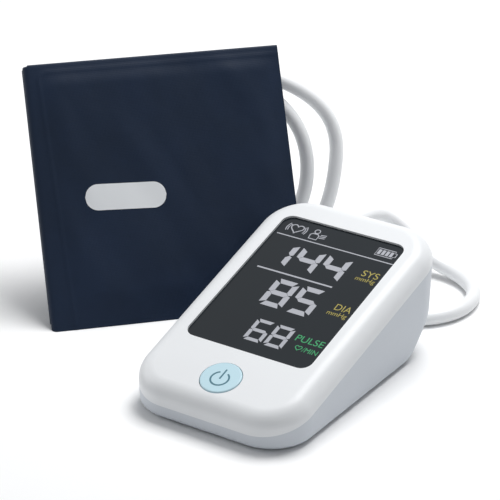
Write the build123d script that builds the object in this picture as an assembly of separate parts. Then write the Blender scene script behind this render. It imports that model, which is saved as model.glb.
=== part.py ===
from build123d import *
from math import cos, pi, radians, sin, sqrt, tan
import os

os.makedirs("parts", exist_ok=True)

# An upper arm blood pressure monitor with its cuff folded and stood behind it.
# Millimetres. +X is the reader's right, +Y the rear, +Z up.
# The origin is on the table, below the centre of the monitor's base.

# Housing
BASE_WIDTH = 97.0
BASE_LENGTH = 153.5
BASE_Z = 1.0
CORNER_RADIUS = 23.0
DRAFT = 2.0
FACE_SLOPE = 16.1
FACE_HEIGHT = 41.45
TOP_ROUNDING = 9.2
EDGE_ROUNDING = 4.0
REAR_WALL_FOOT = 33.0
REAR_SLANT = 45.0
REAR_KNEE_RADIUS = 15.0
WALL = 2.2
PARTING_DEPTH = 10.1
LIP_HEIGHT = 1.6
LIP_GAP = 0.1

# Face: the window and the button lie in the sloped plane
WINDOW_WIDTH = 73.5
WINDOW_LENGTH = 101.5
WINDOW_CORNER = 6.0
WINDOW_FRONT_Y = -39.8
GLASS_RECESS = 1.2
LENS_LAP = 2.0
LENS_THICKNESS = 2.0
FIT_GAP = 0.2
RIM_WALL = 1.4
BUTTON_DISTANCE = 21.0
BUTTON_RADIUS = 10.7
BUTTON_GAP = 0.3
BUTTON_PROUD = 0.5
BUTTON_TRAVEL = 0.8
BUTTON_FLANGE_RADIUS = 11.9
BUTTON_WALL = 1.3

# Display and board
CELL_WIDTH = 72.0
CELL_LENGTH = 98.0
CELL_THICKNESS = 2.8
LIGHT_GUIDE = 2.2
BOARD_DEPTH = 12.5
BOARD_THICKNESS = 1.6
BOARD_WIDTH = 76.0
BOARD_FRONT = -30.0
BOARD_REAR = 58.0
BOARD_POST_X = 28.0
BOARD_POST_W = 14.0
POST_RADIUS = 3.2
BOARD_SCREW_LENGTH = 5.0
LEG_RADIUS = 2.2
LEG_X = 33.0
LEG_FRONT = 8.0
LEG_REAR = 52.0
PEG_RADIUS = 1.1
SWITCH_SIDE = 6.0
SWITCH_HEIGHT = 3.4
PLUNGER_RADIUS = 1.7
PLUNGER_PROUD = 1.1
BUTTON_EDGE = 0.8
BOARD_CORNER = 14.0
SENSOR_SIDE = 8.0
SENSOR_HEIGHT = 4.5
SENSOR_NIPPLE = 4.0
SENSOR_W = 52.0
SENSOR_TUBE_RADIUS = 2.0
BEEPER_U = 20.0
BEEPER_W = -16.0
BEEPER_RADIUS = 5.0
BEEPER_HEIGHT = 3.6

# Screws and feet
SCREW_RADIUS = 1.3
SCREW_HEAD_RADIUS = 2.5
SCREW_HEAD_HEIGHT = 1.6
SCREW_SEAT = 3.0
SCREW_LENGTH = 9.0
COLUMN_RADIUS = 3.5
FRONT_SCREW_X = 37.0
FRONT_SCREW_Y = -50.0
REAR_SCREW_X = 41.2
REAR_SCREW_Y = 14.0
FOOT_RADIUS = 4.5
FOOT_DEPTH = 0.8
FRONT_FOOT_X = 33.0
FRONT_FOOT_Y = -63.0
REAR_FOOT_X = 39.0
REAR_FOOT_Y = 33.0

# Batteries and their bay
CELL_COUNT = 4
AA_RADIUS = 7.2
AA_LENGTH = 50.5
AA_NUB_RADIUS = 2.6
AA_NUB = 1.0
AA_EDGE = 0.8
AA_PITCH = 15.2
AA_FLOOR_GAP = 0.3
BAY_WALL = 1.2
BAY_SIDE_GAP = 0.9
SPRING_SPACE = 7.0
CONTACT_THICKNESS = 0.5
CONTACT_BUTTON = 0.5
PLATE_HEIGHT = 11.0
SPRING_RADIUS = 3.0
SPRING_WIRE = 0.8
SPRING_TURNS = 4.0
DOOR_GAP = 0.3
DOOR_TOP = 9.0
TONGUE_WIDTH = 6.0
TONGUE_LENGTH = 4.0
TONGUE_THICKNESS = 1.2
BAY_BEHIND_REAR = 37.5
GRIP_LINES = 5
GRIP_PITCH = 3.0
GRIP_WIDTH = 20.0
GRIP_GROOVE = 0.6
GRIP_GROOVE_WIDTH = 1.2

# Pump, valve and air passages
PUMP_RADIUS = 11.0
PUMP_BEHIND_REAR = 27.75
PUMP_Z = 27.0
MOTOR_LENGTH = 30.0
MOTOR_BOSS = 1.5
HEAD_LENGTH = 26.0
BUSH_WALL = 1.2
BUSH_WIDTH = 6.0
HEAD_SADDLE_X = -11.0
MOTOR_SADDLE_X = 18.0
SADDLE_WIDTH = 6.0
STRAP_THICKNESS = 1.2
STRAP_FOOT = 6.0
VALVE_WIDTH = 13.0
VALVE_DEPTH = 11.5
VALVE_HEIGHT = 13.0
NIPPLE_RADIUS = 1.9
MANIFOLD_WALL = 1.6
SOCKET_X = -20.0
SOCKET_Z = 42.5
SOCKET_COLLAR_RADIUS = 5.8
SOCKET_FLANGE_RADIUS = 6.2
SOCKET_BARREL_RADIUS = 5.2
SOCKET_DEPTH = 9.8
BARB_RADIUS = 2.5
BARB_LENGTH = 7.0
SOCKET_END = 1.4
SOCKET_PROUD = 0.3
FLANGE_THICKNESS = 1.4
PUMP_OUTLET_X = -20.0
PUMP_OUTLET_LAP = 3.5
PUMP_OUTLET_BACK = 4.5
JACK_X = 22.0
JACK_BARREL_RADIUS = 3.9
JACK_BORE_RADIUS = 2.85
JACK_PIN_RADIUS = 1.0
JACK_PIN_LENGTH = 8.5
JACK_BODY_WIDTH = 10.0
JACK_BODY_HEIGHT = 11.0
JACK_BODY_LENGTH = 12.5

# Hose and plug
HOSE_RADIUS = 4.0
HOSE_GAP = 0.1
NOSE_RADIUS = 3.9
NOSE_GAP = 0.05
PLUG_STOP = 0.8
GRIP_RADIUS = 7.0
GRIP_LENGTH = 17.0
CUP_DEPTH = 8.0
NOSE_END_GAP = 0.5
PLUG_RIBS = 3
PLUG_RIB_PITCH = 2.4
SEAL_WIDTH = 1.2

# Cuff, folded in four
CUFF_BESIDE = 78.74
CUFF_BEFORE_REAR = 108.64
CUFF_YAW = 46.59
CUFF_LEAN = 31.64
CUFF_WIDTH = 140.8
CUFF_HEIGHT = 144.8
CLOTH = 2.2
FOLD_GAP = 0.5
PAD_GAP = 1.1
PAD_THICKNESS = 0.8
POCKET_WALL = 0.5
BLADDER_GAP = 0.05
BLADDER_WIDTH = 124.0
BLADDER_HEIGHT = 118.0
BLADDER_BOTTOM = 12.0
HOOK_WIDTH = 100.0
LOOP_WIDTH = 120.0
PAD_MARGIN = 10.0
PORT_ALONG = 80.0
PORT_UP = 57.0
PORT_FLANGE_RADIUS = 16.0
PORT_FLANGE = 1.2
TURRET_RADIUS = 9.0
TURRET_HEIGHT = 4.0
ELBOW_RADIUS = 7.5
ELBOW_BODY = 14.0
ELBOW_CUP_RADIUS = 6.2
PORT_STEM_RADIUS = 3.0

# Values worked out from those above
slope = tan(radians(FACE_SLOPE))
front_y = -BASE_LENGTH / 2
rear_y = BASE_LENGTH / 2
side_x = BASE_WIDTH / 2
face_origin = (0, WINDOW_FRONT_Y, FACE_HEIGHT + slope * WINDOW_FRONT_Y)
FACE = Plane(face_origin, x_dir=(1, 0, 0), z_dir=(0, -sin(radians(FACE_SLOPE)), cos(radians(FACE_SLOPE))))
window_centre = WINDOW_LENGTH / 2
lens_width = WINDOW_WIDTH + 2 * LENS_LAP
lens_length = WINDOW_LENGTH + 2 * LENS_LAP
lens_under = GLASS_RECESS + LENS_THICKNESS
frame_under = lens_under + CELL_THICKNESS + LIGHT_GUIDE
board_under = BOARD_DEPTH + BOARD_THICKNESS
floor_z = BASE_Z + WALL


def housing(inset):
    """Solid inside the housing's skin after the skin is moved inward by inset."""
    outline = RectangleRounded(BASE_WIDTH - 2 * inset, BASE_LENGTH - 2 * inset, CORNER_RADIUS - inset)
    column = extrude(Plane.XY.offset(BASE_Z) * outline, 2 * FACE_HEIGHT, taper=-DRAFT)
    base = BASE_Z + inset
    reach = BASE_LENGTH
    rise = tan(radians(REAR_SLANT))
    slant_inset = inset / cos(radians(REAR_SLANT))
    knee_y = rear_y + (base - REAR_WALL_FOOT - slant_inset) / rise
    top = FACE_HEIGHT - inset / cos(radians(FACE_SLOPE))
    corners = [
        (-reach, base),
        (knee_y, base),
        (reach, base + rise * (reach - knee_y)),
        (reach, top + slope * reach),
        (-reach, top - slope * reach),
    ]
    side = make_face(Polyline(*corners, close=True))
    knee = side.vertices().sort_by_distance((knee_y, base))[0]
    side = fillet(knee, REAR_KNEE_RADIUS - inset)
    body = column & extrude(Plane.YZ * side, BASE_WIDTH, both=True)
    top_face = body.faces().sort_by(Axis((0, 0, 0), FACE.z_dir))[-1]
    body = fillet(top_face.edges(), TOP_ROUNDING - inset)
    under = [f for f in body.faces() if f.normal_at(f.center()).Z < -0.3]
    edges = [e for f in under for e in f.edges()]
    rim = [e for e in edges if sum(e.is_same(other) for other in edges) == 1]
    return fillet(rim, EDGE_ROUNDING - inset)


def slab(low, high):
    """Everything between two depths measured along the face's normal."""
    return FACE * Pos(0, 0, (low + high) / 2) * Box(4 * BASE_WIDTH, 4 * BASE_LENGTH, high - low)


def face_block(sketch, low, high):
    """A sketch in the face's plane made solid between two heights over the face."""
    return extrude(FACE.offset(low) * sketch, high - low)


def rod(plane, radius, start, end):
    """A round bar along a plane's normal."""
    return extrude(plane.offset(start) * Circle(radius), end - start)


def block(x0, x1, y0, y1, z0, z1):
    """A box given by its limits."""
    return Pos((x0 + x1) / 2, (y0 + y1) / 2, (z0 + z1) / 2) * Box(x1 - x0, y1 - y0, z1 - z0)


def save(node, shape):
    """Write one node."""
    export_step(shape, f"parts/{node}.step")


outer = housing(0)
inner = housing(WALL)
skin = outer - inner
middle = housing(WALL / 2)
above = slab(-PARTING_DEPTH, FACE_HEIGHT)
below = slab(-4 * FACE_HEIGHT, -PARTING_DEPTH)

# Where the case's screws stand
screw_spots = [
    (FRONT_SCREW_X, FRONT_SCREW_Y),
    (-FRONT_SCREW_X, FRONT_SCREW_Y),
    (REAR_SCREW_X, REAR_SCREW_Y),
    (-REAR_SCREW_X, REAR_SCREW_Y),
]
screw_seat_z = BASE_Z + SCREW_SEAT

# Upper case
lens_rim = Pos(0, window_centre) * RectangleRounded(
    lens_width + 2 * (FIT_GAP + RIM_WALL),
    lens_length + 2 * (FIT_GAP + RIM_WALL),
    WINDOW_CORNER + LENS_LAP,
)
lens_seat = Pos(0, window_centre) * RectangleRounded(
    lens_width + 2 * FIT_GAP, lens_length + 2 * FIT_GAP, WINDOW_CORNER
)
window = Pos(0, window_centre) * RectangleRounded(WINDOW_WIDTH, WINDOW_LENGTH, WINDOW_CORNER)
button_hole = Pos(0, -BUTTON_DISTANCE) * Circle(BUTTON_RADIUS + BUTTON_GAP)
board_posts = [(-BOARD_POST_X, -BOARD_POST_W), (BOARD_POST_X, -BOARD_POST_W)]

upper = skin & above
for x, y in screw_spots:
    upper += Pos(x, y, 0) * Cylinder(COLUMN_RADIUS, 4 * FACE_HEIGHT) & inner & above
upper += face_block(lens_rim, -frame_under, -WALL / 2) & middle
for u, w in board_posts:
    upper += face_block(Pos(u, w) * Circle(POST_RADIUS), -BOARD_DEPTH, -WALL / 2)
upper -= face_block(window, -2 * GLASS_RECESS, 2 * GLASS_RECESS)
upper -= face_block(lens_seat, -2 * frame_under, -GLASS_RECESS)
upper -= face_block(button_hole, -2 * WALL, 2 * WALL)
for u, w in board_posts:
    upper -= face_block(Pos(u, w) * Circle(0.8 * SCREW_RADIUS), -BOARD_DEPTH, -BOARD_DEPTH + 6)
for x, y in screw_spots:
    upper -= rod(Plane((x, y, screw_seat_z)), 0.8 * SCREW_RADIUS, 0, SCREW_LENGTH + 1)
rebate = housing(WALL / 2 - LIP_GAP) & slab(-2 * PARTING_DEPTH, -PARTING_DEPTH + LIP_HEIGHT + LIP_GAP)
wall_ring = rebate - inner
for x, y in screw_spots:
    wall_ring -= rod(Plane((x, y, 0)), COLUMN_RADIUS, 0, 2 * FACE_HEIGHT)
upper -= wall_ring
save("upper_case", upper)

# Lower case
bay_half = (CELL_COUNT * AA_PITCH) / 2 + BAY_SIDE_GAP - (AA_PITCH / 2 - AA_RADIUS)
bay_rear = rear_y - BAY_BEHIND_REAR
bay_front = bay_rear - AA_LENGTH - SPRING_SPACE - 2 * CONTACT_THICKNESS - CONTACT_BUTTON
bay_roof = floor_z + AA_FLOOR_GAP + 2 * AA_RADIUS + AA_FLOOR_GAP
pump_y = rear_y - PUMP_BEHIND_REAR
pump_axis = Plane((0, pump_y, PUMP_Z), z_dir=(1, 0, 0))
saddle_bore = PUMP_RADIUS + BUSH_WALL
lower = skin & below
lip = (middle - inner) & slab(-PARTING_DEPTH - 2, -PARTING_DEPTH + LIP_HEIGHT)
for x, y in screw_spots:
    lip -= rod(Plane((x, y, 0)), COLUMN_RADIUS + LIP_GAP, 0, 2 * FACE_HEIGHT)
lower += lip
for x, y in screw_spots:
    lower += rod(Plane((x, y, 0)), COLUMN_RADIUS, 0, 2 * FACE_HEIGHT) & inner & below
bay_outside = block(
    -bay_half - BAY_WALL,
    bay_half + BAY_WALL,
    bay_front - BAY_WALL,
    bay_rear + BAY_WALL,
    0,
    bay_roof + BAY_WALL,
)
bay_inside = block(-bay_half, bay_half, bay_front, bay_rear, 0, bay_roof)
toe_outside = block(-bay_half - BAY_WALL, bay_half + BAY_WALL, bay_rear, rear_y, 0, DOOR_TOP + BAY_WALL)
toe_inside = block(-bay_half, bay_half, bay_rear - 1, rear_y, 0, DOOR_TOP)
lower += (bay_outside + toe_outside) & middle
saddle_front = pump_y - saddle_bore - STRAP_THICKNESS - STRAP_FOOT
for x in (HEAD_SADDLE_X, MOTOR_SADDLE_X):
    saddle = block(x - SADDLE_WIDTH / 2, x + SADDLE_WIDTH / 2, saddle_front, rear_y, bay_roof / 2, PUMP_Z)
    lower += saddle & middle
shelf_z = SOCKET_Z - VALVE_HEIGHT / 2
valve_rear = rear_y - WALL - 0.4
valve_front = valve_rear - VALVE_DEPTH
lower += (
    block(-VALVE_WIDTH / 2, VALVE_WIDTH / 2, valve_front, rear_y, floor_z, shelf_z)
    - rod(pump_axis, saddle_bore + 1, -VALVE_WIDTH, VALVE_WIDTH)
) & middle
lower -= rod(pump_axis, saddle_bore, -side_x, side_x) & inner
lower -= bay_inside + toe_inside
for x in (-AA_PITCH, AA_PITCH):
    lower -= block(
        x - TONGUE_WIDTH / 2 - DOOR_GAP,
        x + TONGUE_WIDTH / 2 + DOOR_GAP,
        bay_front - 2 * BAY_WALL,
        bay_front + 1,
        floor_z,
        floor_z + TONGUE_THICKNESS + 2 * DOOR_GAP,
    )
foot_spots = [
    (FRONT_FOOT_X, FRONT_FOOT_Y),
    (-FRONT_FOOT_X, FRONT_FOOT_Y),
    (REAR_FOOT_X, REAR_FOOT_Y),
    (-REAR_FOOT_X, REAR_FOOT_Y),
]
for x, y in foot_spots:
    lower -= rod(Plane((x, y, 0)), FOOT_RADIUS + FIT_GAP / 2, 0, BASE_Z + FOOT_DEPTH)
for x, y in screw_spots:
    lower -= rod(Plane((x, y, 0)), SCREW_HEAD_RADIUS + FIT_GAP, 0, screw_seat_z)
    lower -= rod(Plane((x, y, 0)), SCREW_RADIUS + FIT_GAP, 0, FACE_HEIGHT)
rear_wall_y = rear_y + (SOCKET_Z - BASE_Z) * tan(radians(DRAFT))
socket_axis = Plane((SOCKET_X, rear_wall_y, SOCKET_Z), z_dir=(0, 1, 0))
jack_axis = Plane((JACK_X, rear_wall_y, SOCKET_Z), z_dir=(0, 1, 0))
lower -= rod(socket_axis, SOCKET_COLLAR_RADIUS + FIT_GAP / 2, -2 * WALL, WALL)
lower -= rod(jack_axis, JACK_BARREL_RADIUS + FIT_GAP / 2, -2 * WALL, WALL)
save("lower_case", lower)

# Battery door
door_shape = skin & block(
    -bay_half + DOOR_GAP, bay_half - DOOR_GAP, bay_front + DOOR_GAP, rear_y, 0, DOOR_TOP - DOOR_GAP
)
for x in (-AA_PITCH, AA_PITCH):
    door_shape += block(
        x - TONGUE_WIDTH / 2,
        x + TONGUE_WIDTH / 2,
        bay_front - TONGUE_LENGTH + DOOR_GAP,
        bay_front + 2 * TONGUE_LENGTH,
        floor_z + DOOR_GAP,
        floor_z + DOOR_GAP + TONGUE_THICKNESS,
    )
    door_shape += block(
        x - TONGUE_WIDTH / 2,
        x + TONGUE_WIDTH / 2,
        bay_front + DOOR_GAP,
        bay_front + 2 * TONGUE_LENGTH,
        floor_z - WALL / 2,
        floor_z + DOOR_GAP + TONGUE_THICKNESS,
    )
grip_y = bay_rear - GRIP_LINES * GRIP_PITCH
for i in range(GRIP_LINES):
    groove_y = grip_y + i * GRIP_PITCH
    door_shape -= block(
        -GRIP_WIDTH / 2, GRIP_WIDTH / 2, groove_y, groove_y + GRIP_GROOVE_WIDTH, 0, BASE_Z + GRIP_GROOVE
    )
save("battery_door", door_shape)

# Window lens, display and its frame
lens_flat = Pos(0, window_centre) * RectangleRounded(lens_width, lens_length, WINDOW_CORNER)
save("display_lens", face_block(lens_flat, -lens_under, -GLASS_RECESS))
cell_flat = Pos(0, window_centre) * Rectangle(CELL_WIDTH, CELL_LENGTH)
save("display_cell", face_block(cell_flat, -lens_under - CELL_THICKNESS, -lens_under))
cell_room = Pos(0, window_centre) * Rectangle(CELL_WIDTH + 2 * FIT_GAP, CELL_LENGTH + 2 * FIT_GAP)
frame = face_block(lens_flat, -frame_under, -lens_under)
frame -= face_block(cell_room, -lens_under - CELL_THICKNESS, 0)
leg_spots = [(x, w) for x in (-LEG_X, LEG_X) for w in (LEG_FRONT, LEG_REAR)]
for u, w in leg_spots:
    frame += face_block(Pos(u, w) * Circle(LEG_RADIUS), -BOARD_DEPTH, -frame_under)
    frame += face_block(Pos(u, w) * Circle(PEG_RADIUS), -board_under - 1, -BOARD_DEPTH)
save("display_frame", frame)

# Main board and what stands on it
board_flat = Pos(0, (BOARD_FRONT + BOARD_REAR) / 2) * Rectangle(BOARD_WIDTH, BOARD_REAR - BOARD_FRONT)
board_flat = fillet(board_flat.vertices().sort_by(Axis.Y)[0:2], BOARD_CORNER)
board = face_block(board_flat, -board_under, -BOARD_DEPTH)
for u, w in leg_spots:
    board -= face_block(Pos(u, w) * Circle(PEG_RADIUS + FIT_GAP / 2), -2 * board_under, 0)
for u, w in board_posts:
    board -= face_block(Pos(u, w) * Circle(SCREW_RADIUS + FIT_GAP / 2), -2 * board_under, 0)
for x, y in screw_spots:
    board -= rod(Plane((x, y, 0)), COLUMN_RADIUS + DOOR_GAP, 0, 2 * FACE_HEIGHT)
save("main_board", board)
chip = face_block(Pos(0, 30) * Rectangle(14, 14), -BOARD_DEPTH, -BOARD_DEPTH + 1.4)
memory = face_block(Pos(18, 34) * Rectangle(5, 6), -BOARD_DEPTH, -BOARD_DEPTH + 1.2)
crystal = face_block(Pos(-15, 32) * SlotOverall(8, 3.6), -BOARD_DEPTH, -BOARD_DEPTH + 2.6)
choke = face_block(Pos(-20, 14) * RectangleRounded(7, 7, 1.2), -BOARD_DEPTH, -BOARD_DEPTH + 2.8)
socket = face_block(Pos(22, 48) * Rectangle(12, 5), -BOARD_DEPTH, -BOARD_DEPTH + 3.0)
save("board_components", Compound(children=[chip, memory, crystal, choke, socket]))
switch_top = -BOARD_DEPTH + SWITCH_HEIGHT
switch_flat = Pos(0, -BUTTON_DISTANCE) * RectangleRounded(SWITCH_SIDE, SWITCH_SIDE, 0.6)
plunger_flat = Pos(0, -BUTTON_DISTANCE) * Circle(PLUNGER_RADIUS)
plunger_room = Pos(0, -BUTTON_DISTANCE) * Circle(PLUNGER_RADIUS + FIT_GAP / 2)
switch = face_block(switch_flat, -BOARD_DEPTH, switch_top)
switch -= face_block(plunger_room, -BOARD_DEPTH + 0.6, switch_top + 1)
save("power_switch", switch)
plunger_top = switch_top + PLUNGER_PROUD
save("switch_plunger", face_block(plunger_flat, -BOARD_DEPTH + 0.6 + BUTTON_TRAVEL + DOOR_GAP, plunger_top))

# Power button, a hollow cap with a flange under the case's wall
button_axis = FACE * Pos(0, -BUTTON_DISTANCE, 0)
button_profile = Polyline(
    (0, BUTTON_PROUD),
    (BUTTON_RADIUS, BUTTON_PROUD),
    (BUTTON_RADIUS, -WALL - FIT_GAP),
    (BUTTON_FLANGE_RADIUS, -WALL - FIT_GAP),
    (BUTTON_FLANGE_RADIUS, -WALL - FIT_GAP - BUTTON_WALL),
    (BUTTON_RADIUS - BUTTON_WALL, -WALL - FIT_GAP - BUTTON_WALL),
    (BUTTON_RADIUS - BUTTON_WALL, BUTTON_PROUD - BUTTON_WALL),
    (PLUNGER_RADIUS, BUTTON_PROUD - BUTTON_WALL),
    (PLUNGER_RADIUS, plunger_top),
    (0, plunger_top),
    close=True,
)
cap = revolve(Plane.XZ * make_face(button_profile), Axis.Z)
rim_edges = cap.edges().filter_by(GeomType.CIRCLE).group_by(Axis.Z)[-1]
cap = fillet(rim_edges, BUTTON_EDGE)
save("power_button", Plane(button_axis) * cap)

# Pressure sensor under the board, with its tube
sensor_flat = Pos(SOCKET_X, SENSOR_W) * RectangleRounded(SENSOR_SIDE, SENSOR_SIDE, 0.8)
sensor = face_block(sensor_flat, -board_under - SENSOR_HEIGHT, -board_under)
sensor_nipple = FACE * Pos(SOCKET_X, SENSOR_W, -board_under - SENSOR_HEIGHT / 2)
nipple_plane = Plane(sensor_nipple.position, z_dir=FACE.y_dir)
sensor += rod(nipple_plane, NIPPLE_RADIUS / 2, SENSOR_SIDE / 2, SENSOR_SIDE / 2 + SENSOR_NIPPLE)
save("pressure_sensor", sensor)
beeper_flat = Pos(BEEPER_U, BEEPER_W) * Circle(BEEPER_RADIUS)
beeper = face_block(beeper_flat, -board_under - BEEPER_HEIGHT, -board_under)
beeper -= face_block(Pos(BEEPER_U, BEEPER_W) * Circle(1.0), -board_under - BEEPER_HEIGHT, -board_under - 2)
save("beeper", beeper)

# Batteries, alternate ways round, and their contacts
cell_rows = [((i - (CELL_COUNT - 1) / 2) * AA_PITCH, 1 if i % 2 else -1) for i in range(CELL_COUNT)]
cell_z = floor_z + AA_FLOOR_GAP + AA_RADIUS
bay_middle = (bay_front + bay_rear) / 2
nub_end = (bay_rear - bay_front) / 2 - CONTACT_THICKNESS - CONTACT_BUTTON
cells = []
front_parts = []
rear_parts = []
coil_path = Helix(SPRING_SPACE / SPRING_TURNS, SPRING_SPACE - SPRING_WIRE, SPRING_RADIUS)
coil_start = Plane(coil_path @ 0, z_dir=coil_path % 0)
coil = sweep(coil_start * Circle(SPRING_WIRE / 2), coil_path, is_frenet=True)
for x, way in cell_rows:
    axis = Plane((x, bay_middle, cell_z), x_dir=(1, 0, 0), z_dir=(0, way, 0))
    body_end = nub_end - AA_NUB
    can = rod(axis, AA_RADIUS, nub_end - AA_LENGTH, body_end)
    can = fillet(can.edges().filter_by(GeomType.CIRCLE), AA_EDGE)
    cells.append(can + rod(axis, AA_NUB_RADIUS, body_end, nub_end))
    plate = Rectangle(AA_PITCH - 2 * BAY_WALL, PLATE_HEIGHT)
    wall_at = nub_end + CONTACT_BUTTON
    tip = extrude(axis.offset(wall_at) * plate, CONTACT_THICKNESS) + rod(axis, AA_NUB_RADIUS, nub_end, wall_at)
    tail = extrude(axis.offset(-wall_at - CONTACT_THICKNESS) * plate, CONTACT_THICKNESS)
    spring = axis.offset(-wall_at + SPRING_WIRE / 2) * coil
    if way > 0:
        rear_parts += [tip]
        front_parts += [tail, spring]
    else:
        front_parts += [tip]
        rear_parts += [tail, spring]
save("batteries", Compound(children=cells))
save("front_battery_contacts", Compound(children=front_parts))
save("rear_battery_contacts", Compound(children=rear_parts))

# Feet and screws
feet = [rod(Plane((x, y, 0)), FOOT_RADIUS, 0, BASE_Z + FOOT_DEPTH) for x, y in foot_spots]
save("rubber_feet", Compound(children=feet))


def screw(plane, length):
    """A pan-head screw whose head bears at the plane and whose shank runs along its normal."""
    head = rod(plane, SCREW_HEAD_RADIUS, -SCREW_HEAD_HEIGHT, 0)
    top = plane.offset(-SCREW_HEAD_HEIGHT)
    slot = extrude(top * Rectangle(3.2, 0.7), 0.8) + extrude(top * Rectangle(0.7, 3.2), 0.8)
    return head + rod(plane, 0.8 * SCREW_RADIUS - 0.02, 0, length) - slot


case_screws = [screw(Plane((x, y, screw_seat_z)), SCREW_LENGTH) for x, y in screw_spots]
save("case_screws", Compound(children=case_screws))
under_board = FACE.offset(-board_under)
board_screws = [screw(Plane(under_board * Pos(u, w)), BOARD_SCREW_LENGTH) for u, w in board_posts]
save("board_screws", Compound(children=board_screws))

# Pump: motor and head on one axis, rubber bushes, strap over them
motor = rod(pump_axis, PUMP_RADIUS, 0, MOTOR_LENGTH)
motor += rod(pump_axis, PUMP_RADIUS / 3, MOTOR_LENGTH, MOTOR_LENGTH + MOTOR_BOSS)
motor = fillet(motor.edges().filter_by(GeomType.CIRCLE).sort_by(Axis.X)[-3], 1.2)
save("pump_motor", motor)
head_body = rod(pump_axis, PUMP_RADIUS, -HEAD_LENGTH, 0)
for x in (-HEAD_LENGTH / 3, -2 * HEAD_LENGTH / 3 - 1.5):
    groove = rod(pump_axis, PUMP_RADIUS + 1, x, x + 0.6) - rod(pump_axis, PUMP_RADIUS - 0.6, x, x + 0.6)
    head_body -= groove
nipple_z = Plane((PUMP_OUTLET_X, pump_y + PUMP_OUTLET_BACK, PUMP_Z))
outlet_top = SOCKET_Z
head_body += rod(nipple_z, NIPPLE_RADIUS, PUMP_RADIUS / 2, outlet_top - PUMP_Z)
save("pump_head", head_body)
bushes = []
strap_parts = []
strap_bore = saddle_bore
strap_outer = strap_bore + STRAP_THICKNESS
for x in (HEAD_SADDLE_X, MOTOR_SADDLE_X):
    start = x - BUSH_WIDTH / 2
    end = start + BUSH_WIDTH
    bushes.append(rod(pump_axis, saddle_bore, start, end) - rod(pump_axis, PUMP_RADIUS, start, end))
    arch = rod(pump_axis, strap_outer, start, end)
    foot_span = strap_outer + STRAP_FOOT
    arch += block(start, end, pump_y - foot_span, pump_y + foot_span, PUMP_Z, PUMP_Z + STRAP_THICKNESS)
    arch -= rod(pump_axis, strap_bore, start, end)
    arch -= block(start, end, 0, 2 * rear_y, 0, PUMP_Z)
    strap_parts.append(arch & inner)
save("pump_bushes", Compound(children=bushes))
save("pump_straps", Compound(children=strap_parts))

# Air socket in the rear wall and the moulded passage behind it
flange_at = -WALL - 0.2
barrel_end = -SOCKET_DEPTH - SOCKET_END
barb_end = barrel_end - BARB_LENGTH
air_socket = rod(socket_axis, SOCKET_COLLAR_RADIUS, flange_at, SOCKET_PROUD)
air_socket += rod(socket_axis, SOCKET_FLANGE_RADIUS, flange_at - FLANGE_THICKNESS, flange_at)
air_socket += rod(socket_axis, SOCKET_BARREL_RADIUS, barrel_end, flange_at)
air_socket += rod(socket_axis, BARB_RADIUS, barb_end, barrel_end)
air_socket -= rod(socket_axis, NOSE_RADIUS + NOSE_GAP, -SOCKET_DEPTH, SOCKET_PROUD)
air_socket -= rod(socket_axis, BARB_RADIUS / 2, barb_end, -SOCKET_DEPTH)
save("air_socket", air_socket)
manifold_front = pump_y + PUMP_OUTLET_BACK - PUMP_OUTLET_LAP
manifold_axis = Plane((SOCKET_X, 0, SOCKET_Z), z_dir=(0, 1, 0))
manifold_rear = rear_wall_y + barrel_end
sleeve = BARB_RADIUS + MANIFOLD_WALL
branch_y = manifold_rear - sleeve
branch = Plane((0, branch_y, SOCKET_Z), z_dir=(1, 0, 0))
valve_face = -VALVE_WIDTH / 2
manifold = rod(manifold_axis, sleeve, manifold_front, manifold_rear)
manifold += rod(branch, NIPPLE_RADIUS + MANIFOLD_WALL, SOCKET_X, valve_face - 1)
manifold -= rod(manifold_axis, BARB_RADIUS + NOSE_GAP, rear_wall_y + barb_end, manifold_rear)
manifold -= rod(manifold_axis, NIPPLE_RADIUS, manifold_front, manifold_rear)
manifold -= rod(branch, NIPPLE_RADIUS + NOSE_GAP, valve_face - 5, valve_face)
manifold -= rod(branch, NIPPLE_RADIUS / 2, SOCKET_X, valve_face)
manifold -= rod(nipple_z, NIPPLE_RADIUS + NOSE_GAP, PUMP_RADIUS / 2, outlet_top - PUMP_Z)
save("air_manifold", manifold)
valve = block(
    valve_face, -valve_face, valve_front, valve_rear, shelf_z, shelf_z + VALVE_HEIGHT
)
valve = fillet(valve.edges().filter_by(Axis.Z), 1.0)
valve += rod(branch, NIPPLE_RADIUS, valve_face - 5, valve_face)
valve -= rod(branch, NIPPLE_RADIUS / 2, valve_face - 5, valve_face + 3)
save("release_valve", valve)

# Power inlet
jack = rod(jack_axis, JACK_BARREL_RADIUS, -WALL - 0.6, 0.2)
jack += block(
    JACK_X - JACK_BODY_WIDTH / 2,
    JACK_X + JACK_BODY_WIDTH / 2,
    rear_wall_y - WALL - 0.6 - JACK_BODY_LENGTH,
    rear_wall_y - WALL - 0.6,
    SOCKET_Z - JACK_BODY_HEIGHT / 2,
    SOCKET_Z + JACK_BODY_HEIGHT / 2,
)
jack -= rod(jack_axis, JACK_BORE_RADIUS, -JACK_PIN_LENGTH - 1, 1)
save("dc_jack", jack)
save("dc_jack_pin", rod(jack_axis, JACK_PIN_RADIUS, -JACK_PIN_LENGTH - 1, -0.5))

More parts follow.
